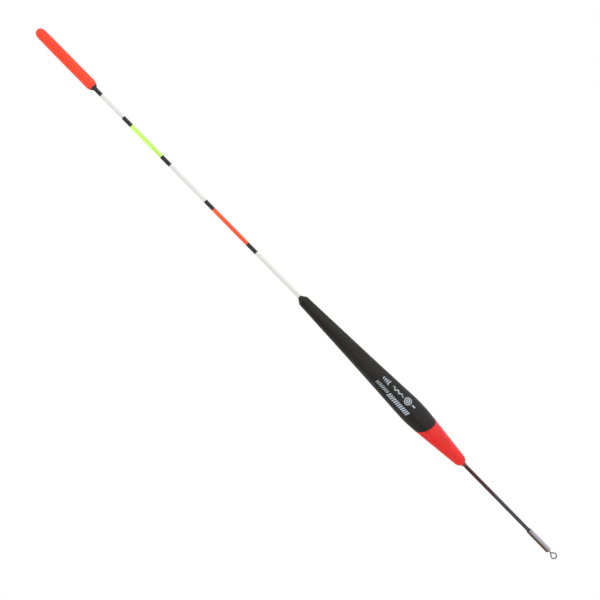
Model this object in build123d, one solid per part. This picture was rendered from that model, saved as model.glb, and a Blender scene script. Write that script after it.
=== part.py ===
from build123d import *
import math
import os

# A slim stick float, upright, in millimetres. Heights are measured up its axis (+Z)
# from the centre of the wire line eye at its foot. The eye's hole points along Y.

GLUE = 0.02                # radial film of glue between bonded pieces
RUNNING_CLEARANCE = 0.05   # radial room for the eye's shank to turn in the ferrule

# Line eye: one bent wire, a closed loop with a straight shank
WIRE_R = 0.20
LOOP_R = 0.92              # of the wire's centreline
LOOP_LAND_R = 0.74         # flat worn into the inside of the loop, where the line bears
NECK_HEIGHT = 1.48         # where the two sides of the loop come together
NECK_BEND_R = 0.35
LOOP_END_GAP = 0.22        # the wire's cut end stops this far short of the middle of the neck

# Ferrule: tube on the foot of the stem, rolled in round the eye's shank
FERRULE_R = 0.93
FERRULE_BOTTOM = 2.34
FERRULE_TOP = 11.76
FERRULE_FLOOR = 0.5
FERRULE_FOOT_ROUND = 0.28
FERRULE_MOUTH_ROUND = 0.12

# Eye retainer: bead soldered on the shank inside the ferrule
RETAINER_R = 0.46
RETAINER_LENGTH = 0.7
RETAINER_ROUND = 0.14
RETAINER_PLAY = 0.08       # end float of the eye in the ferrule
SHANK_STANDS_PROUD = 0.15  # above the retainer

# Stem
STEM_R = 0.62
STEM_BOTTOM = 4.3
STEM_TOP = 74.0

# Body: turned balsa, as corners (radius, height, rounding radius) from the foot up
BODY_CORNERS = [
    (0.70, 42.05, 0),      # lip of paint round the stem
    (0.93, 42.68, 0.3),    # root of the lip
    (1.84, 43.33, 2.4),    # nose
    (4.28, 65.60, 48),     # belly
    (3.15, 87.50, 900),    # where the long taper eases
    (1.83, 118.00, 0.4),   # shoulder
    (0.72, 119.55, 0),     # mouth round the antenna
]
BORE_POCKET = 0.3          # room for glue past the end of a rod in its bore

# Antenna socket: thin tube that lines the top bore of the body
SOCKET_R = 0.80
SOCKET_BOTTOM = 95.5
SOCKET_FLOOR = 0.5
SOCKET_SHOULDER = 119.44

# Antenna
ANTENNA_R = 0.665
ANTENNA_TOP = 231.0

# Sight tip: long bulb on the top of the antenna
TIP_BASE = 216.03
TIP_BASE_R = 0.74
TIP_WIDEST = 218.45
TIP_WIDEST_R = 1.83
TIP_BARREL_R = 1.80        # straight barrel, where a night-light sleeve pushes on
TIP_BARREL_BOTTOM = 225.0
TIP_BARREL_TOP = 237.0
TIP_DOME_R = 1.74
TIP_DOME_BOTTOM = 241.15
TIP_TOP = 243.28
TIP_FLAT_R = 0.12          # small flat on the crown, where the blank was parted off
QUARTER_HANDLE = 0.5523    # Bezier handle, as a share of its side, that draws a quarter ellipse


def rod(radius, bottom, top):
    """Upright cylinder on the float's axis."""
    shape = Cylinder(radius, top - bottom, align=(Align.CENTER, Align.CENTER, Align.MIN))
    return Pos(0, 0, bottom) * shape


def edges_of(*lines):
    return [edge for line in lines for edge in line.edges()]


def turned(*lines):
    """Solid of revolution on the float's axis, from lines drawn as (radius, height)."""
    outline = edges_of(*lines)
    ends = sorted((end.Y, end.X) for edge in outline for end in edge.vertices())
    (foot, foot_r), (head, head_r) = ends[0], ends[-1]
    closing = [(foot_r, foot), (0, foot), (0, head), (head_r, head)]
    return revolve(Plane.XZ * make_face(outline + edges_of(Polyline(*closing))), Axis.Z)


def retainer_bottom():
    return FERRULE_BOTTOM + FERRULE_FLOOR + RETAINER_PLAY


def shank_top():
    return retainer_bottom() + RETAINER_LENGTH + SHANK_STANDS_PROUD


def line_eye():
    """Wire from the top of the shank, down to the neck, round the loop and back."""
    touch = math.acos(LOOP_R / NECK_HEIGHT)
    touch_x = LOOP_R * math.sin(touch)
    touch_z = LOOP_R * math.cos(touch)
    side = math.hypot(touch_x, NECK_HEIGHT - touch_z)
    kept = 1 - LOOP_END_GAP / side
    end = (touch_x * (1 - kept), touch_z + (NECK_HEIGHT - touch_z) * kept)
    shank_and_side = FilletPolyline(
        (0, shank_top()), (0, NECK_HEIGHT), (-touch_x, touch_z), radius=[NECK_BEND_R]
    )
    turn = math.degrees(touch)
    loop = CenterArc((0, 0), LOOP_R, 90 + turn, 360 - 2 * turn)
    path = Plane.XZ * Wire(edges_of(shank_and_side, loop, Line((touch_x, touch_z), end)))
    wire = sweep(Plane(path @ 0, z_dir=path % 0) * Circle(WIRE_R), path=path)
    return wire - Rot(90, 0, 0) * Cylinder(LOOP_LAND_R, 4 * WIRE_R)


def eye_retainer():
    """Bead with rounded ends, bored for the wire."""
    bottom = retainer_bottom()
    bead = rod(RETAINER_R, bottom, bottom + RETAINER_LENGTH)
    bead = fillet(bead.edges().filter_by(GeomType.CIRCLE), RETAINER_ROUND)
    return bead - rod(WIRE_R + GLUE, 0, shank_top())


def ferrule():
    """Tube open at the top, with a holed floor for the shank to turn in."""
    tube = rod(FERRULE_R, FERRULE_BOTTOM, FERRULE_TOP)
    tube = fillet(tube.edges().sort_by(Axis.Z)[:1], FERRULE_FOOT_ROUND)
    tube = fillet(tube.edges().sort_by(Axis.Z)[-1:], FERRULE_MOUTH_ROUND)
    tube -= rod(STEM_R + GLUE, FERRULE_BOTTOM + FERRULE_FLOOR, FERRULE_TOP)
    return tube - rod(WIRE_R + RUNNING_CLEARANCE, 0, FERRULE_TOP)


def stem():
    return rod(STEM_R, STEM_BOTTOM, STEM_TOP)


def body():
    """Long cigar, bored from below for the stem and from above for the socket."""
    corners = [(radius, height) for radius, height, _ in BODY_CORNERS]
    rounds = [rounding for _, _, rounding in BODY_CORNERS[1:-1]]
    shape = turned(FilletPolyline(*corners, radius=rounds))
    shape -= rod(STEM_R + GLUE, 0, STEM_TOP + BORE_POCKET)
    return shape - rod(SOCKET_R + GLUE, SOCKET_BOTTOM - BORE_POCKET, TIP_BASE)


def antenna_socket():
    """Tube with a closed foot. Its mouth carries on the cone of the body's top."""
    mouth_r, mouth_height, _ = BODY_CORNERS[-1]
    tube = turned(
        Polyline((SOCKET_R, SOCKET_BOTTOM), (SOCKET_R, SOCKET_SHOULDER), (mouth_r, mouth_height))
    )
    return tube - rod(ANTENNA_R + GLUE, SOCKET_BOTTOM + SOCKET_FLOOR, TIP_BASE)


def antenna():
    return rod(ANTENNA_R, SOCKET_BOTTOM + SOCKET_FLOOR, ANTENNA_TOP)


def sight_tip():
    """Slightly tapered bulb with a domed top, bored from below for the antenna."""
    base = TangentArc((TIP_WIDEST_R, TIP_WIDEST), (TIP_BASE_R, TIP_BASE), tangent=(0, -1))
    side = Polyline(
        (TIP_WIDEST_R, TIP_WIDEST),
        (TIP_BARREL_R, TIP_BARREL_BOTTOM),
        (TIP_BARREL_R, TIP_BARREL_TOP),
        (TIP_DOME_R, TIP_DOME_BOTTOM),
    )
    handle_height = TIP_DOME_BOTTOM + QUARTER_HANDLE * (TIP_TOP - TIP_DOME_BOTTOM)
    dome = Bezier(
        (TIP_DOME_R, TIP_DOME_BOTTOM),
        (TIP_DOME_R, handle_height),
        (TIP_FLAT_R + QUARTER_HANDLE * (TIP_DOME_R - TIP_FLAT_R), TIP_TOP),
        (TIP_FLAT_R, TIP_TOP),
    )
    bulb = turned(base, side, dome)
    return bulb - rod(ANTENNA_R + GLUE, 0, ANTENNA_TOP + BORE_POCKET)


PIECES = [
    sight_tip,
    antenna,
    antenna_socket,
    body,
    stem,
    ferrule,
    line_eye,
    eye_retainer,
]

os.makedirs("parts", exist_ok=True)
for piece in PIECES:
    solid = piece()
    solid.label = piece.__name__
    export_step(solid, f"parts/{piece.__name__}.step")
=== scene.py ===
import math

import bmesh
import bpy
import numpy as np
from mathutils import Matrix, Vector


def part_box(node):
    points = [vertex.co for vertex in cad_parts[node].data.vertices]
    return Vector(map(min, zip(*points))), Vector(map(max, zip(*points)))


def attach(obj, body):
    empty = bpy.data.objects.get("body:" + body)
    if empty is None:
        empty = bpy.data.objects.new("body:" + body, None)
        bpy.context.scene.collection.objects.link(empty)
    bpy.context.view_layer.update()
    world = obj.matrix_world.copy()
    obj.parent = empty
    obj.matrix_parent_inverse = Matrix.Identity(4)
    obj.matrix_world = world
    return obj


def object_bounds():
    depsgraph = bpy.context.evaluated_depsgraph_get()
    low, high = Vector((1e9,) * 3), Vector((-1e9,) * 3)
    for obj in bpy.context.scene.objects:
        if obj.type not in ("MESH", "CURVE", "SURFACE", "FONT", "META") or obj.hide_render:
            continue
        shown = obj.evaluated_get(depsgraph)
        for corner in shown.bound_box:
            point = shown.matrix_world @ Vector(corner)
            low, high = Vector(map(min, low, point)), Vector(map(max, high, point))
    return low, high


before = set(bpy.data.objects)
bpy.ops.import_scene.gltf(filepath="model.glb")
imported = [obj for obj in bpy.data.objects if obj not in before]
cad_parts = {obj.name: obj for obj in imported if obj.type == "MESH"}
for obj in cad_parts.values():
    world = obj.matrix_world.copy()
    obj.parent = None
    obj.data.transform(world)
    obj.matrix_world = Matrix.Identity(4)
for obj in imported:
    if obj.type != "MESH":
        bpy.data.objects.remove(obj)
cad_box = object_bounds()

# The float stands on +Z. Lengths are in millimetres here and become metres in make_piece().
# Heights are measured from the centre of the line eye, as in the CAD.
MM = 0.001

# Camera: an 85 mm lens looking along +Y, rolled so that the tip points to the upper left
LENS_MM = 85
SENSOR_MM = 36
CAMERA_DISTANCE = 467.5
CAMERA_SIDE = -0.6
CAMERA_HEIGHT = 118.9
CAMERA_ROLL = math.radians(44.48)

# Light tent, as reflections see it. Panels stand side by side from -X (0) to +X (1), each
# with its linear colour. A low window is a level strip with panels of its own.
TENT_PANELS = [
    (0.22, (0.07, 0.065, 0.065)),
    (0.53, (0.48, 0.46, 0.45)),
    (0.70, (0.41, 0.39, 0.38)),
]
WINDOW_PANELS = [
    (0.09, (0.08, 0.060, 0.053)),
    (0.36, (0.51, 0.42, 0.36)),
    (0.68, (0.58, 0.51, 0.46)),
    (0.97, (0.77, 0.82, 1.16)),
]
BACKDROP = (0.54, 0.52, 0.50, 1.0)
# Heights and depths in the tent are the Z and Y of a unit vector toward them
WINDOW_Z = -0.24           # middle of the window
WINDOW_FULL = 0.05         # it is full this far above and below its middle
WINDOW_GONE = 0.09         # and has faded out this far from it
BACKDROP_STARTS = -0.85    # Y at which the backdrop begins to show
BACKDROP_FULL = 0.5        # and at which it hides the panels
TENT_LOW = 1.0             # strength of the tent's light on the object, from the -X side
TENT_HIGH = 1.12           # and from the +X side

# Key light and floor, in metres and watts
KEY_PLACE = (0.55, -0.3, 0.42)
KEY_WIDTH = 0.45
KEY_HEIGHT = 0.8
KEY_POWER = 0.5
KEY_TINT = (0.96, 0.98, 1.0)
FLOOR_DROP = 0.06          # below the lowest point of the float
FLOOR_RADIUS = 0.4
FLOOR_STEPS = 64

# Tints and stains
LACQUER_TINT = (1.0, 0.97, 0.91, 1.0)  # colour of the lacquers' gloss
STAIN_STARTS = (14.6, 12.8)            # red on the stem sets in between these depths below the nose
STAIN_DEEPENS = (12, 1)                # and deepens between these
STAIN_RAGGED = 0.7                     # unevenness of its edges
ROD_YELLOWED = (22, 44)                # the white rod's tint fades between these heights over the body

# Painted bands of the antenna, from the body up: name, paint, bottom, top
BANDS = [
    ("band_black_a", "black", 140.1, 144.3),
    ("band_orange", "orange", 144.3, 160.25),
    ("band_black_b", "black", 160.25, 164.1),
    ("band_black_c", "black", 180.6, 184.7),
    ("band_lime", "lime", 184.7, 198.8),
    ("band_black_d", "black", 198.8, 202.75),
    ("band_black_e", "black", 212.95, 216.05),
]
BAND_LAP = 0.12            # a colour runs this far on under the black next to it
BAND_WANDER = 0.03         # unevenness of a band's edge round the rod
BAND_FEATHER = 0.07        # length over which a band's edge thins out
EDGE_STEP = 0.3            # at this share of the feather
EDGE_FILM = 0.6            # the film has this share of its thickness

# Films: how far each stands proud of what it covers
PAINT_FILM = 0.014         # a coat of paint or glue
BLACK_FILM = 0.022         # a black band, which also covers the edge of a colour
MARK_FILM = 0.012          # print
PAINT_SUNK = 0.008         # how far a film reaches into what it covers, so that nothing shows between

# The red end of the body: paint that ends on a slanting line
CONE_FILM = 0.03
CONE_EDGE_BEAD = 0.5       # share by which the film thickens at its upper edge
CONE_EDGE_WIDTH = 0.35
CONE_EDGE_CREST = 0.5      # the bead is thickest at this share of its width below the line
CONE_BOTTOM = 42.56
CONE_LAP = 2 * BAND_WANDER  # the glue on the nose runs this far on under the red
CONE_LEVEL_TOP = 55.0      # rings below this height are level, and those above it lean to the line
CONE_SLANTED_RINGS = 24    # closer together toward the line
CONE_LINE_HEIGHT = 60.8    # where the plane of the line crosses the axis
CONE_LINE_SLOPE_X = -0.234  # and how the plane rises along X and Y
CONE_LINE_SLOPE_Y = 0.562
CONE_LINE_ROUNDS = 4       # of nearing the height at which it meets the skin

# Glue drawn from the nose down the stem: film over the stem, height over the nose, and share
# of the lower edge's unevenness
NOSE_DRIP = [
    (-PAINT_SUNK, -0.52, 1),
    (0.012, -0.44, 1),
    (0.028, -0.3, 0.8),
    (0.056, -0.13, 0.4),
]
NOSE_DRIP_WAVE = 0.09      # unevenness of the lower edge: two waves round the stem
NOSE_DRIP_RIPPLE = 0.04    # and five smaller ones
NOSE_INSIDE = 0.01         # the film ends this far inside the nose

# Black paint on the foot of the sight tip, and its lip: film over the antenna, height over
# the tip's foot
TIP_FOOT_TOP = 216.85
TIP_LIP = [(0.03, 0.04), (-PAINT_SUNK, -0.1), (0.03, -0.03)]
TIP_CREST_STEP = 0.2       # its upper edge, as EDGE_STEP
TIP_CREST_FILM = 0.7       # and EDGE_FILM say it for a band

# Paint at the antenna's mouth
MOUTH_LAP = 0.4            # how far it comes down over the body
MOUTH_RISE = 0.41          # and up the antenna
MOUTH_TOP_FILM = 0.4       # share of its thickness left at the top
MOUTH_COVER_RINGS = 4      # over the body
MOUTH_FILLET_RINGS = 8     # and up the antenna

# Bead of glue at the ferrule's mouth, dark as painted shade in the mouth: film over the stem, height
# over the mouth
FERRULE_BEAD = [
    (-PAINT_SUNK, -0.06),
    (0.2, -0.06),
    (0.22, 0.03),
    (0.15, 0.1),
    (0.06, 0.18),
    (0.02, 0.32),
    (-PAINT_SUNK, 0.42),
]

# Rows of print: azimuth of the row, and its shift across
UPPER_ROW = (math.radians(22), 0.1)
LOWER_ROW = (math.radians(-25), -0.85)
BAR_SLANT = 0.35           # sideways lean, as a share of a bar's height
BAR_POINTS = 12            # along its path
DASH_POINTS = 10
WAVE_POINTS = 91
ARC_POINTS = 20
ARC_SHRINK = 0.16          # share of the first arc's height that each further arc loses
ARC_BOW = 0.62             # radius of an arc, as a share of its height
ARC_HALF_TURN = 52         # degrees
RING_STEPS = 48
STRIP_COLUMNS = 5          # points across a stroke

# Meshes
SEGMENTS = 84              # round the axis: twice the CAD's, so that thin films lie true on it
REAL_EDGE = math.radians(50)  # faces that meet at more than this keep a sharp edge
OUTWARD = 0.05             # a normal that leans out by more than this is on the outside


# ---------------------------------------------------------------- colours

def srgb(red, green, blue):
    """Linear colour from a display colour of 0 to 255 a channel."""
    linear = []
    for channel in (red, green, blue):
        c = channel / 255
        linear.append(c / 12.92 if c <= 0.04045 else ((c + 0.055) / 1.055) ** 2.4)
    return (*linear, 1.0)


def scaled(colour, factor):
    return (*[min(1.0, c * factor) for c in colour[:3]], 1.0)


# ----------------------------------------------------------------- shaders

def add_node(tree, kind, inputs=None, **settings):
    """Shader node with its settings made and its inputs set or linked."""
    node = tree.nodes.new(kind)
    for key, value in settings.items():
        setattr(node, key, value)
    for key, value in (inputs or {}).items():
        if isinstance(value, bpy.types.NodeSocket):
            tree.links.new(value, node.inputs[key])
        else:
            node.inputs[key].default_value = value
    return node


def map_range(tree, value, low, high, to_low=0.0, to_high=1.0, kind="SMOOTHSTEP"):
    """Value carried over from low..high to to_low..to_high, and level outside."""
    inputs = {"Value": value, "From Min": low, "From Max": high, "To Min": to_low, "To Max": to_high}
    return add_node(tree, "ShaderNodeMapRange", inputs, interpolation_type=kind).outputs[0]


def mix_colours(tree, share, a, b):
    """Colour a where share is 0 and colour b where it is 1."""
    return add_node(tree, "ShaderNodeMix", {0: share, 6: a, 7: b}, data_type="RGBA").outputs[2]


def mix_shaders(tree, share, a, b):
    return add_node(tree, "ShaderNodeMixShader", {0: share, 1: a, 2: b}).outputs[0]


class Finish:
    """One procedural material. Its patterns are laid out in the row frame, in millimetres."""

    def __init__(self, name):
        self.material = bpy.data.materials.new(name)
        self.material.use_nodes = True
        self.tree = self.material.node_tree
        self.surface = self.tree.nodes["Principled BSDF"]
        place = self.add("ShaderNodeTexCoord").outputs["Object"]
        self.place = self.add(
            "ShaderNodeVectorMath", {0: place, "Scale": 1 / MM}, operation="SCALE"
        ).outputs[0]

    def add(self, kind, inputs=None, **settings):
        return add_node(self.tree, kind, inputs, **settings)

    def set(self, **inputs):
        """Principled inputs, with _ for a space in their names."""
        for key, value in inputs.items():
            socket = self.surface.inputs[key.replace("_", " ")]
            if isinstance(value, bpy.types.NodeSocket):
                self.tree.links.new(value, socket)
            else:
                socket.default_value = value

    def noise(self, size, along=1.0, detail=3.0):
        """Noise of 0 to 1, with features of about size mm that are drawn out along Z."""
        scale = (1 / size, 1 / size, 1 / (size * along))
        spread = self.add("ShaderNodeVectorMath", {0: self.place, 1: scale}, operation="MULTIPLY")
        return self.add(
            "ShaderNodeTexNoise", {"Vector": spread.outputs[0], "Scale": 1.0, "Detail": detail}
        ).outputs["Fac"]

    def ramp(self, value, low, high, to_low=0.0, to_high=1.0):
        return map_range(self.tree, value, low, high, to_low, to_high)

    def height(self):
        """Height above the line eye in mm."""
        return self.add("ShaderNodeSeparateXYZ", {0: self.place}).outputs["Z"]

    def math(self, operation, a, b):
        return self.add("ShaderNodeMath", {0: a, 1: b}, operation=operation).outputs[0]

    def mix(self, share, a, b):
        return mix_colours(self.tree, share, a, b)

    def bump(self, height, depth, under=None):
        """Normal raised by height (0 to 1) times depth mm, on top of another normal."""
        inputs = {"Height": height, "Distance": depth * MM, "Strength": 1.0}
        if under is not None:
            inputs["Normal"] = under
        return self.add("ShaderNodeBump", inputs).outputs[0]


# --------------------------------------------------------------- materials

def paint(name, colour, roughness=0.36, glow=0.0, grain=0.012, scuff=0.25, gloss=0.35):
    """Sprayed lacquer: cloudy colour, specks, painted shade in tiny craters, hair scratches, worn
    patches, orange peel, and lengthwise grain. glow is the extra light of a fluorescent colour."""
    finish = Finish(name)
    pale = finish.mix(0.3, colour, srgb(236, 232, 226))
    clouds = finish.ramp(finish.noise(2.2, along=4, detail=5), 0.3, 0.7)
    mottled = finish.mix(clouds, scaled(colour, 0.86), scaled(colour, 1.12))
    specks = finish.ramp(finish.noise(0.1), 0.68, 0.76, 0.0, 0.4)
    # tiny craters without depth: their darker colour is painted shade
    pit_shade_spots = finish.ramp(finish.noise(0.14, detail=2), 0.24, 0.3, 0.35, 0.0)
    with_pit_shade = finish.mix(pit_shade_spots, finish.mix(specks, mottled, pale), scaled(colour, 0.55))
    hairs = finish.ramp(finish.noise(0.05, along=60, detail=1), 0.73, 0.78)
    worn = finish.ramp(finish.noise(0.5, along=14, detail=6), 0.64, 0.74)
    marks = finish.math("MULTIPLY", finish.math("MAXIMUM", hairs, worn), scuff)
    final = finish.mix(marks, with_pit_shade, pale)
    peel = finish.bump(finish.noise(0.35, detail=2), 0.008)
    ribbed = finish.bump(finish.noise(0.22, along=30), grain, peel)
    scratched = finish.bump(finish.math("SUBTRACT", 1.0, hairs), 0.004, ribbed)
    sheen = finish.ramp(finish.noise(0.9, along=3), 0.3, 0.7, roughness - 0.07, roughness + 0.08)
    finish.set(
        Base_Color=final,
        Roughness=finish.math("ADD", sheen, finish.math("MULTIPLY", marks, 0.4)),
        Normal=scratched,
        Specular_IOR_Level=gloss,
        Specular_Tint=LACQUER_TINT,
        Emission_Color=final,
        Emission_Strength=glow,
    )
    return finish.material


def rod_white(name, colour):
    """White drawn rod: faint lengthwise fibres, yellower near the body, with small marks."""
    finish = Finish(name)
    fibres = finish.noise(0.08, along=120)
    streaked = finish.mix(fibres, scaled(colour, 0.97), scaled(colour, 1.02))
    body_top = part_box("body")[1].z / MM
    full, gone = (body_top + rise for rise in ROD_YELLOWED)
    yellowed = finish.math(
        "ADD",
        finish.ramp(finish.noise(5.0, along=3), 0.45, 0.75, 0.0, 0.07),
        finish.ramp(finish.height(), full, gone, 0.19, 0.0),
    )
    aged = finish.mix(yellowed, streaked, srgb(226, 221, 200))
    marks = finish.ramp(finish.noise(0.3, along=2, detail=5), 0.68, 0.8, 0.0, 0.3)
    finish.set(
        Base_Color=finish.mix(marks, aged, srgb(176, 176, 172)),
        Roughness=finish.ramp(fibres, 0.2, 0.8, 0.28, 0.42),
        Normal=finish.bump(fibres, 0.004),
        Coat_Weight=0.15,
        Coat_Roughness=0.2,
    )
    return finish.material


def carbon_rod(name):
    """Dark rod of lengthwise fibres, stained by the cone's red lacquer near the nose."""
    finish = Finish(name)
    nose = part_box("body")[0].z / MM
    starts = [nose - below for below in STAIN_STARTS]
    deepens = [nose - below for below in STAIN_DEEPENS]
    fibres = finish.noise(0.06, along=160, detail=4)
    grey = finish.mix(fibres, srgb(48, 48, 54), srgb(91, 87, 97))
    red = finish.mix(fibres, srgb(50, 17, 22), srgb(103, 46, 48))
    patches = finish.noise(0.5, along=3, detail=4)
    ragged = finish.ramp(patches, 0.3, 0.7, -STAIN_RAGGED, STAIN_RAGGED)
    height = finish.math("ADD", finish.height(), ragged)
    stain = finish.math(
        "ADD", finish.ramp(height, *starts, 0.0, 0.8), finish.ramp(height, *deepens, 0.0, 0.2)
    )
    speckle = finish.ramp(finish.noise(0.3, along=2), 0.3, 0.65, 0.75, 1.0)
    finish.set(
        Base_Color=finish.mix(finish.math("MULTIPLY", stain, speckle), grey, red),
        Roughness=finish.ramp(fibres, 0.2, 0.8, 0.34, 0.5),
        Normal=finish.bump(finish.noise(0.05, along=200), 0.006),
        Specular_IOR_Level=0.4,
    )
    return finish.material


def metal(name, colour, roughness, tarnish, line_size=0.05, along=60):
    """Drawn metal: fine lines, shallow dents, a thin patchy tarnish and small dark marks."""
    finish = Finish(name)
    lines = finish.noise(line_size, along=along, detail=4)
    film = finish.ramp(finish.noise(1.1, along=3, detail=5), 0.4, 0.75, 0.0, 0.45)
    marks = finish.ramp(finish.noise(0.16, along=3, detail=3), 0.66, 0.76, 0.0, 0.6)
    drawn = finish.mix(lines, scaled(colour, 0.88), colour)
    dents = finish.bump(finish.noise(1.4, detail=2), 0.014)
    dulled = finish.math("MULTIPLY", finish.math("ADD", film, marks), 0.12)
    finish.set(
        Base_Color=finish.mix(marks, finish.mix(film, drawn, tarnish), scaled(tarnish, 0.4)),
        Metallic=1.0,
        Roughness=finish.math(
            "ADD", finish.ramp(lines, 0.2, 0.8, roughness, roughness + 0.06), dulled
        ),
        Normal=finish.bump(lines, 0.0025, dents),
    )
    return finish.material


def resin(name, colour):
    """Set glue or moulded plastic: cloudy, drawn out lengthwise, with small bubbles."""
    finish = Finish(name)
    cloud = finish.ramp(finish.noise(0.4, along=2, detail=5), 0.3, 0.7)
    bubbles = finish.ramp(finish.noise(0.07, detail=1), 0.24, 0.32, 0.6, 0.0)
    tinted = finish.mix(cloud, scaled(colour, 0.72), scaled(colour, 1.3))
    flow = finish.bump(finish.noise(0.25, along=2, detail=2), 0.02)
    finish.set(
        Base_Color=finish.mix(bubbles, tinted, scaled(colour, 0.4)),
        Roughness=finish.ramp(cloud, 0.0, 1.0, 0.2, 0.42),
        Normal=finish.bump(finish.math("SUBTRACT", 1.0, bubbles), 0.008, flow),
    )
    return finish.material


def ink(name, colour):
    """Stamped ink: thin in places, so that the dark paint shows through."""
    finish = Finish(name)
    cover = finish.ramp(finish.noise(0.18, detail=4), 0.3, 0.6)
    finish.set(
        Base_Color=finish.mix(cover, scaled(colour, 0.55), colour),
        Roughness=finish.ramp(cover, 0.0, 1.0, 0.42, 0.55),
        Normal=finish.bump(cover, 0.004),
    )
    return finish.material


# ------------------------------------------------------- reading the frame

def radius_mm(node):
    """Largest radius of a CAD node about the float's axis."""
    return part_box(node)[1].x / MM


def skin_of(node):
    """Heights of a turned CAD node's rings, and a function from height to its outer radius,
    in mm. Both are read from the faces of its mesh that look outward."""
    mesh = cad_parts[node].data
    outside = set()
    for face in mesh.polygons:
        away = Vector((face.center.x, face.center.y, 0)).normalized()
        if face.normal.dot(away) > OUTWARD:
            outside.update(face.vertices)
    points = np.array([mesh.vertices[i].co for i in sorted(outside)]) / MM
    distances = np.hypot(points[:, 0], points[:, 1])
    heights = np.round(points[:, 2], 3)  # so that all points of a ring have one height
    rings = np.unique(heights)
    radii = np.array([distances[heights == ring].max() for ring in rings])

    def skin(z):
        return float(np.interp(z, rings, radii))

    return rings, skin


# ---------------------------------------------------------- making a piece

def make_piece(name, points, faces, material):
    """Mesh from points in mm, smooth except at real edges, riding on the float."""
    mesh = bpy.data.meshes.new(name)
    mesh.from_pydata((np.array(points) * MM).tolist(), [], faces)
    mesh.validate()
    shell = bmesh.new()
    shell.from_mesh(mesh)
    bmesh.ops.recalc_face_normals(shell, faces=shell.faces)
    shell.to_mesh(mesh)
    shell.free()
    mesh.shade_smooth()
    mesh.set_sharp_from_angle(angle=REAL_EDGE)
    mesh.materials.append(material)
    piece = bpy.data.objects.new(name, mesh)
    bpy.context.scene.collection.objects.link(piece)
    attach(piece, "float")


def lathe(name, outline_at, material):
    """Closed ring round the axis. outline_at(azimuth) gives its section there, as points of
    (radius, height)."""
    points = []
    for j in range(SEGMENTS):
        azimuth = 2 * math.pi * j / SEGMENTS
        for r, z in outline_at(azimuth):
            points.append((r * math.sin(azimuth), -r * math.cos(azimuth), z))
    count = len(points) // SEGMENTS
    faces = []
    for j in range(SEGMENTS):
        here, there = j * count, (j + 1) % SEGMENTS * count
        for i in range(count):
            k = (i + 1) % count
            faces.append((here + i, here + k, there + k, there + i))
    make_piece(name, points, faces, material)


# ---------------------------------------------------------- paint and glue

def band(name, bottom, top, film, material):
    """Painted band on the antenna, with edges that thin out and wander a little."""
    radius = radius_mm("antenna")

    def outline(azimuth):
        low = bottom + BAND_WANDER * math.sin(2 * azimuth + bottom)
        high = top + BAND_WANDER * math.sin(3 * azimuth + top)
        return [
            (radius - PAINT_SUNK, low),
            (radius + EDGE_FILM * film, low + EDGE_STEP * BAND_FEATHER),
            (radius + film, low + BAND_FEATHER),
            (radius + film, high - BAND_FEATHER),
            (radius + EDGE_FILM * film, high - EDGE_STEP * BAND_FEATHER),
            (radius - PAINT_SUNK, high),
        ]

    lathe(name, outline, material)


def antenna_bands(paints):
    """All bands. A colour runs on under its black neighbours, whose film is thicker."""
    for name, colour, bottom, top in BANDS:
        lap, film = (0, BLACK_FILM) if colour == "black" else (BAND_LAP, PAINT_FILM)
        band(name, bottom - lap, top + lap, film, paints[colour])


def cone_paint(material):
    """Red film from the nose up to the slanting line, thicker along its edge."""
    rings, skin = skin_of("body")

    def line_height(azimuth):
        """Height at which the plane of the line meets the skin."""
        z = CONE_LINE_HEIGHT
        for _ in range(CONE_LINE_ROUNDS):
            x, y = skin(z) * math.sin(azimuth), -skin(z) * math.cos(azimuth)
            z = CONE_LINE_HEIGHT + CONE_LINE_SLOPE_X * x + CONE_LINE_SLOPE_Y * y
        return z

    level = [z for z in rings if CONE_BOTTOM + CONE_LAP < z < CONE_LEVEL_TOP]

    def outline(azimuth):
        bottom = CONE_BOTTOM + BAND_WANDER * math.sin(3 * azimuth)
        top = line_height(azimuth)
        share = 1 - np.linspace(1, 0, CONE_SLANTED_RINGS) ** 2
        slanted = CONE_LEVEL_TOP + (top - CONE_LEVEL_TOP) * share
        heights = [bottom, *level, *slanted]
        outer = []
        for z in heights[:-1]:
            place = (top - z) / CONE_EDGE_WIDTH - CONE_EDGE_CREST
            bead = CONE_EDGE_BEAD * math.exp(-(place ** 2))
            outer.append((skin(z) + CONE_FILM * (1 + bead), z))
        inner = [(skin(z) - PAINT_SUNK, z) for z in heights]
        return outer + inner[::-1]

    lathe("cone_paint", outline, material)


def nose_glue(material):
    """Tinted glue from the nose of the body down onto the stem, with an uneven lower edge."""
    rings, skin = skin_of("body")
    rod = radius_mm("stem")
    foot = rings[0]
    heights = [z for z in rings if z < CONE_BOTTOM] + [CONE_BOTTOM + CONE_LAP]
    outer = [(skin(z) + PAINT_FILM, z) for z in heights]
    inner = [(r - PAINT_FILM - PAINT_SUNK, z) for r, z in outer[:0:-1]]
    end = [(rod - PAINT_SUNK, foot + NOSE_INSIDE)]

    def outline(azimuth):
        drop = NOSE_DRIP_WAVE * math.sin(2 * azimuth + 0.7)
        drop += NOSE_DRIP_RIPPLE * math.sin(5 * azimuth)
        drip = [(rod + film, foot + rise + share * drop) for film, rise, share in NOSE_DRIP]
        return drip + outer + inner + end

    lathe("nose_glue", outline, material)


def tip_foot_paint(material):
    """Black film on the cone at the foot of the sight tip."""
    rings, skin = skin_of("sight_tip")
    rod = radius_mm("antenna")
    feather = TIP_FOOT_TOP - BAND_FEATHER
    crest = TIP_FOOT_TOP - TIP_CREST_STEP * BAND_FEATHER
    heights = [z for z in rings if z < feather] + [feather]
    outer = [(skin(z) + PAINT_FILM, z) for z in heights]
    outer.append((skin(crest) + TIP_CREST_FILM * PAINT_FILM, crest))
    edge = [(skin(TIP_FOOT_TOP) - PAINT_SUNK, TIP_FOOT_TOP)]
    inner = [(r - PAINT_FILM - PAINT_SUNK, z) for r, z in outer[:-1]]
    lip = [(rod + film, rings[0] + rise) for film, rise in TIP_LIP]
    section = lip + outer + edge + inner[:0:-1]
    lathe("tip_foot_paint", lambda azimuth: section, material)


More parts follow.
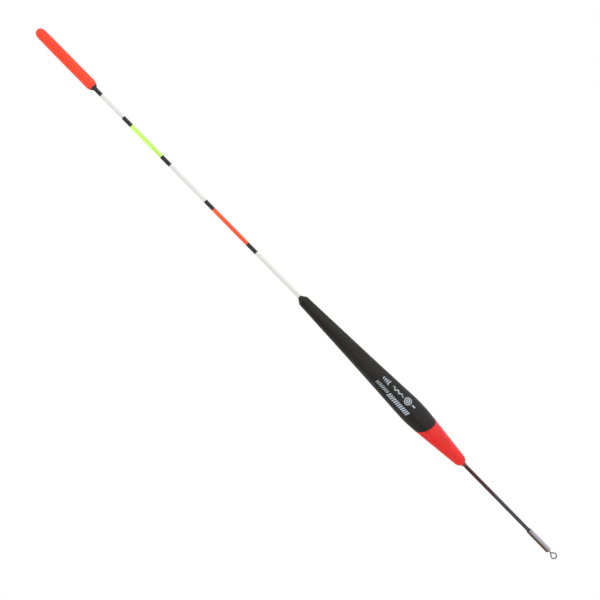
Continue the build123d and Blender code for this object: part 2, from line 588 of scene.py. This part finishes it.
def body_mouth_paint(material):
    """Paint that runs off the body's shoulder and is drawn up the antenna in a small fillet."""
    rings, skin = skin_of("body")
    rod = radius_mm("antenna")
    shoulder = rings[-1]
    slope = (skin(shoulder) - skin(rings[-2])) / (shoulder - rings[-2])
    foot = shoulder - MOUTH_LAP

    def cone(z):
        """Radius of the shoulder's cone."""
        return float(skin(shoulder) + slope * (z - shoulder))

    covered = np.linspace(foot + BAND_FEATHER, shoulder, MOUTH_COVER_RINGS)
    cover = [(cone(z) + PAINT_FILM, z) for z in covered]
    low = np.array(cover[-1])
    high = np.array((rod + MOUTH_TOP_FILM * PAINT_FILM, shoulder + MOUTH_RISE))
    knee = np.array((rod + PAINT_FILM, low[1] + (rod + PAINT_FILM - low[0]) / slope))
    fillet = []
    for t in np.linspace(0, 1, MOUTH_FILLET_RINGS + 1)[1:]:
        fillet.append(tuple((1 - t) ** 2 * low + 2 * t * (1 - t) * knee + t ** 2 * high))
    under = [
        (rod - PAINT_SUNK, shoulder + MOUTH_RISE + EDGE_STEP * BAND_FEATHER),
        (rod - PAINT_SUNK, knee[1]),
        (cone(shoulder) - PAINT_SUNK, shoulder),
        (cone(foot) - PAINT_SUNK, foot),
    ]
    section = cover + fillet + under
    lathe("body_mouth_paint", lambda azimuth: section, material)


def ferrule_glue_and_shade(material):
    """Bead of glue where the stem enters the ferrule, its near-black colour painted shade in the
    mouth.
    """
    rod = radius_mm("stem")
    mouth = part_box("ferrule")[1].z / MM
    section = [(rod + film, mouth + rise) for film, rise in FERRULE_BEAD]
    lathe("ferrule_glue_and_shade", lambda azimuth: section, material)


# ------------------------------------------------------------------- print

def bend_onto_body(flat, low, azimuth, shift):
    """Points (along, across, lift) in mm, bent round the body: along runs up the float."""
    _, skin = skin_of("body")
    bent = []
    for along, across, lift in flat:
        z = low + along
        r = skin(z)
        turn = azimuth - (across + shift) / r
        bent.append(((r + lift) * math.sin(turn), -(r + lift) * math.cos(turn), z))
    return bent


def tapering(width, ends=1.0):
    """Width of a stroke along its length: ends times width at both ends, width midway."""
    return lambda share: width * (ends + (1 - ends) * math.sin(math.pi * share))


def strip(path, width_at):
    """Flat closed slab along a path of (along, across) points: points and faces."""
    points, faces = [], []
    path = np.array(path, float)
    ahead = np.gradient(path, axis=0)
    ahead /= np.linalg.norm(ahead, axis=1)[:, None]
    side = np.stack([-ahead[:, 1], ahead[:, 0]], axis=1)
    across = STRIP_COLUMNS
    for i, (centre, normal) in enumerate(zip(path, side)):
        half = width_at(i / (len(path) - 1)) / 2
        for lift in (-PAINT_SUNK, MARK_FILM):
            for k in range(across):
                spot = centre + normal * half * (2 * k / (across - 1) - 1)
                points.append((spot[0], spot[1], lift))
    row = 2 * across
    around = [*range(across), *range(2 * across - 1, across - 1, -1)]
    for i in range(len(path) - 1):
        for a, b in zip(around, around[1:] + around[:1]):
            faces.append((i * row + a, i * row + b, (i + 1) * row + b, (i + 1) * row + a))
    last = (len(path) - 1) * row
    for k in range(across - 1):
        faces.append((k, k + 1, across + k + 1, across + k))
        faces.append((last + k, last + k + 1, last + across + k + 1, last + across + k))
    return points, faces


def ring(outer, inner):
    """Flat closed ring: points and faces."""
    points, faces = [], []
    section = [(outer, -PAINT_SUNK), (outer, MARK_FILM), (inner, MARK_FILM), (inner, -PAINT_SUNK)]
    for i in range(RING_STEPS):
        turn = 2 * math.pi * i / RING_STEPS
        for r, lift in section:
            points.append((r * math.cos(turn), r * math.sin(turn), lift))
    count = len(section)
    for i in range(RING_STEPS):
        j = (i + 1) % RING_STEPS
        for k in range(count):
            m = (k + 1) % count
            faces.append((i * count + k, i * count + m, j * count + m, j * count + k))
    return points, faces


def joined(parts):
    """One list of points and faces from several."""
    points, faces = [], []
    for more_points, more_faces in parts:
        faces += [tuple(i + len(points) for i in face) for face in more_faces]
        points += more_points
    return points, faces


def arcs(count, pitch, height, width):
    """Row of plain bent strokes, like ripples seen from the side."""
    strokes = []
    bow = [math.radians(a) for a in np.linspace(-ARC_HALF_TURN, ARC_HALF_TURN, ARC_POINTS)]
    for i in range(count):
        size = height * (1 - ARC_SHRINK * i)
        reach = ARC_BOW * size
        path = [(i * pitch + reach * math.cos(a), reach * math.sin(a)) for a in bow]
        strokes.append(strip(path, tapering(width, ends=0.6)))
    return joined(strokes)


def slanted_bars(count, pitch, height, width):
    """Row of leaning bars, as a plain decoration."""
    bars = []
    for i in range(count):
        start = np.array((i * pitch, 0.0))
        end = start + (BAR_SLANT * height, height)
        path = [start + (end - start) * t for t in np.linspace(0, 1, BAR_POINTS)]
        bars.append(strip(path, tapering(width)))
    return joined(bars)


def wave(length, swing, turns, width):
    """Wavy line that grows along its length and thins to its ends."""
    path = []
    for t in np.linspace(0, 1, WAVE_POINTS):
        path.append((length * t, swing * math.sin(2 * math.pi * turns * t) * (0.5 + 0.5 * t)))
    return strip(path, tapering(width, ends=0.45))


def dash(length, width):
    return strip([(t, 0) for t in np.linspace(0, length, DASH_POINTS)], tapering(width))


def print_marking(material):
    """Two rows of pale print on the body, plain ornaments only."""
    ripples = joined([ring(1.35, 1.0), ring(0.7, 0.3)])
    large_bars = slanted_bars(count=12, pitch=0.79, height=1.65, width=0.44)
    small_bars = slanted_bars(count=8, pitch=0.7, height=1.1, width=0.3)
    # Name, shape, height at which it starts, row
    marks = [
        ("mark_arcs", arcs(count=4, pitch=0.95, height=1.8, width=0.4), 78.1, UPPER_ROW),
        ("mark_wave", wave(length=5.0, swing=0.45, turns=3, width=0.42), 72.3, UPPER_ROW),
        ("mark_ripples", ripples, 70.45, UPPER_ROW),
        ("mark_dash", dash(length=1.2, width=0.5), 67.3, UPPER_ROW),
        ("mark_bars_large", large_bars, 67.4, LOWER_ROW),
        ("mark_bars_small", small_bars, 77.1, LOWER_ROW),
    ]
    for name, (points, faces), low, (azimuth, shift) in marks:
        bent = bend_onto_body(points, low, azimuth, shift)
        make_piece(name, bent, faces, material)


# ------------------------------------------------------------------- stage

def panels_across(tree, share, panels):
    """Colour of a row of panels, where share runs from 0 at -X to 1 at +X."""
    row = add_node(tree, "ShaderNodeValToRGB", {"Fac": share})
    row.color_ramp.interpolation = "EASE"
    stops = row.color_ramp.elements
    while len(stops) < len(panels):
        stops.new(0.5)
    for stop, (position, colour) in zip(stops, panels):
        stop.position = position
        stop.color = (*colour, 1)
    return row.outputs[0]


def tent_reflection(tree, direction):
    """Colour of the tent in a direction, a unit vector, as a reflection sees it."""
    parts = add_node(tree, "ShaderNodeSeparateXYZ", {0: direction}).outputs
    share = map_range(tree, parts["X"], -1.0, 1.0, kind="LINEAR")
    behind = map_range(tree, parts["Y"], BACKDROP_STARTS, BACKDROP_FULL)
    tent = mix_colours(tree, behind, panels_across(tree, share, TENT_PANELS), BACKDROP)
    above = add_node(tree, "ShaderNodeMath", {0: parts["Z"], 1: WINDOW_Z}, operation="SUBTRACT")
    away = add_node(tree, "ShaderNodeMath", {0: above.outputs[0]}, operation="ABSOLUTE")
    window = map_range(tree, away.outputs[0], WINDOW_FULL, WINDOW_GONE, 1.0, 0.0)
    return mix_colours(tree, window, tent, panels_across(tree, share, WINDOW_PANELS))


def seen_as(tree, lit, reflected, white):
    """Shader that the camera sees as white and a reflection as reflected. The rest of the
    light meets lit."""
    ray = add_node(tree, "ShaderNodeLightPath").outputs
    unseen = mix_shaders(tree, ray["Is Glossy Ray"], lit, reflected)
    return mix_shaders(tree, ray["Is Camera Ray"], unseen, white)


def studio_world():
    """Even white tent, seen as pure white and reflected as soft panels."""
    world = bpy.data.worlds.new("studio")
    bpy.context.scene.world = world
    world.cycles.sampling_method = "NONE"  # so that the ray type in seen_as() is always known
    world.use_nodes = True
    tree = world.node_tree
    tree.nodes.clear()
    direction = add_node(tree, "ShaderNodeTexCoord").outputs["Generated"]
    side = add_node(tree, "ShaderNodeSeparateXYZ", {0: direction}).outputs["X"]
    level = map_range(tree, side, -1.0, 1.0, TENT_LOW, TENT_HIGH, kind="LINEAR")
    even = add_node(tree, "ShaderNodeBackground", {"Color": (1, 1, 0.99, 1), "Strength": level})
    panels = add_node(tree, "ShaderNodeBackground", {"Color": tent_reflection(tree, direction)})
    white = add_node(tree, "ShaderNodeBackground", {"Color": (1, 1, 1, 1), "Strength": 1.0})
    shader = seen_as(tree, even.outputs[0], panels.outputs[0], white.outputs[0])
    add_node(tree, "ShaderNodeOutputWorld", {"Surface": shader})


def floor():
    """Pale round sheet below the float, white and reflected like the rest of the tent."""
    level = cad_box[0].z - FLOOR_DROP
    rim = [2 * math.pi * i / FLOOR_STEPS for i in range(FLOOR_STEPS)]
    corners = [(FLOOR_RADIUS * math.cos(a), FLOOR_RADIUS * math.sin(a), level) for a in rim]
    mesh = bpy.data.meshes.new("floor")
    mesh.from_pydata(corners, [], [tuple(range(FLOOR_STEPS))])
    finish = Finish("floor_pale")
    finish.set(Base_Color=srgb(222, 221, 218), Roughness=0.8)
    finish.material.cycles.emission_sampling = "NONE"  # for the same reason as in the world
    incoming = finish.add("ShaderNodeNewGeometry").outputs["Incoming"]
    onward = finish.add("ShaderNodeVectorMath", {0: incoming, "Scale": -1.0}, operation="SCALE")
    tent = tent_reflection(finish.tree, onward.outputs[0])
    panels = finish.add("ShaderNodeEmission", {"Color": tent})
    white = finish.add("ShaderNodeEmission", {"Color": (1, 1, 1, 1), "Strength": 1.0})
    shader = seen_as(finish.tree, finish.surface.outputs[0], panels.outputs[0], white.outputs[0])
    finish.tree.links.new(shader, finish.tree.nodes["Material Output"].inputs[0])
    mesh.materials.append(finish.material)
    sheet = bpy.data.objects.new("floor", mesh)
    bpy.context.scene.collection.objects.link(sheet)


def key_light(target):
    light = bpy.data.lights.new("key", "AREA")
    light.shape = "RECTANGLE"
    light.size = KEY_WIDTH
    light.size_y = KEY_HEIGHT
    light.energy = KEY_POWER
    light.color = KEY_TINT
    holder = bpy.data.objects.new("key", light)
    holder.location = KEY_PLACE
    holder.rotation_mode = "QUATERNION"
    holder.rotation_quaternion = (target - Vector(KEY_PLACE)).to_track_quat("-Z", "Y")
    bpy.context.scene.collection.objects.link(holder)


def camera():
    right = Vector((math.cos(CAMERA_ROLL), 0, -math.sin(CAMERA_ROLL)))
    up = Vector((math.sin(CAMERA_ROLL), 0, math.cos(CAMERA_ROLL)))
    back = Vector((0, -1, 0))
    place = Vector((CAMERA_SIDE, -CAMERA_DISTANCE, CAMERA_HEIGHT)) * MM
    lens = bpy.data.cameras.new("camera")
    lens.lens = LENS_MM
    lens.sensor_width = SENSOR_MM
    lens.clip_start = 0.01
    lens.clip_end = 20
    holder = bpy.data.objects.new("camera", lens)
    turn = Matrix((right, up, back)).transposed().to_4x4()
    holder.matrix_world = Matrix.Translation(place) @ turn
    bpy.context.scene.collection.objects.link(holder)
    bpy.context.scene.camera = holder


# ------------------------------------------------------------------- build

def dress(node, material):
    """Gives a CAD node its finish."""
    for material_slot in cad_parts[node].material_slots:
        material_slot.material = material


black = paint("paint_black", srgb(40, 40, 39), roughness=0.34, scuff=0.06)
band_paints = {
    "black": paint("paint_band_black", srgb(52, 53, 56), grain=0.004, scuff=0.1, gloss=0.5),
    "orange": paint("paint_band_orange", srgb(252, 80, 38), glow=0.25, grain=0.004, scuff=0.08),
    "lime": paint("paint_band_lime", srgb(187, 235, 97), glow=0.2, grain=0.004, scuff=0.08),
}

dress("body", black)
dress("sight_tip", paint("paint_tip_red", srgb(252, 63, 38), glow=0.3, grain=0.006, scuff=0.3))
dress("antenna", rod_white("rod_white", srgb(226, 229, 227)))
dress("antenna_socket", resin("socket_plastic", srgb(48, 48, 50)))
dress("stem", carbon_rod("carbon_rod"))
dress("ferrule", metal("nickel_plate", srgb(218, 214, 210), 0.12, srgb(168, 152, 138)))
dress("line_eye", metal("steel_wire", srgb(152, 145, 147), 0.22, srgb(100, 91, 88), 0.03, 1))
dress("eye_retainer", metal("brass", srgb(196, 168, 108), 0.25, srgb(128, 100, 62)))

antenna_bands(band_paints)
tip_foot_paint(band_paints["black"])
body_mouth_paint(black)
nose_glue(resin("glue_brown", srgb(112, 66, 56)))
cone_paint(paint("paint_cone_red", srgb(239, 32, 28), roughness=0.28, scuff=0.06, gloss=0.7))
# the glue's near-black colour is painted shade in the ferrule's mouth
ferrule_glue_and_shade(resin("glue_dark", srgb(38, 34, 32)))
print_marking(ink("ink_silver", srgb(196, 210, 224)))

studio_world()
floor()
key_light(target=(cad_box[0] + cad_box[1]) / 2)
camera()
bpy.context.scene.view_settings.view_transform = "Standard"
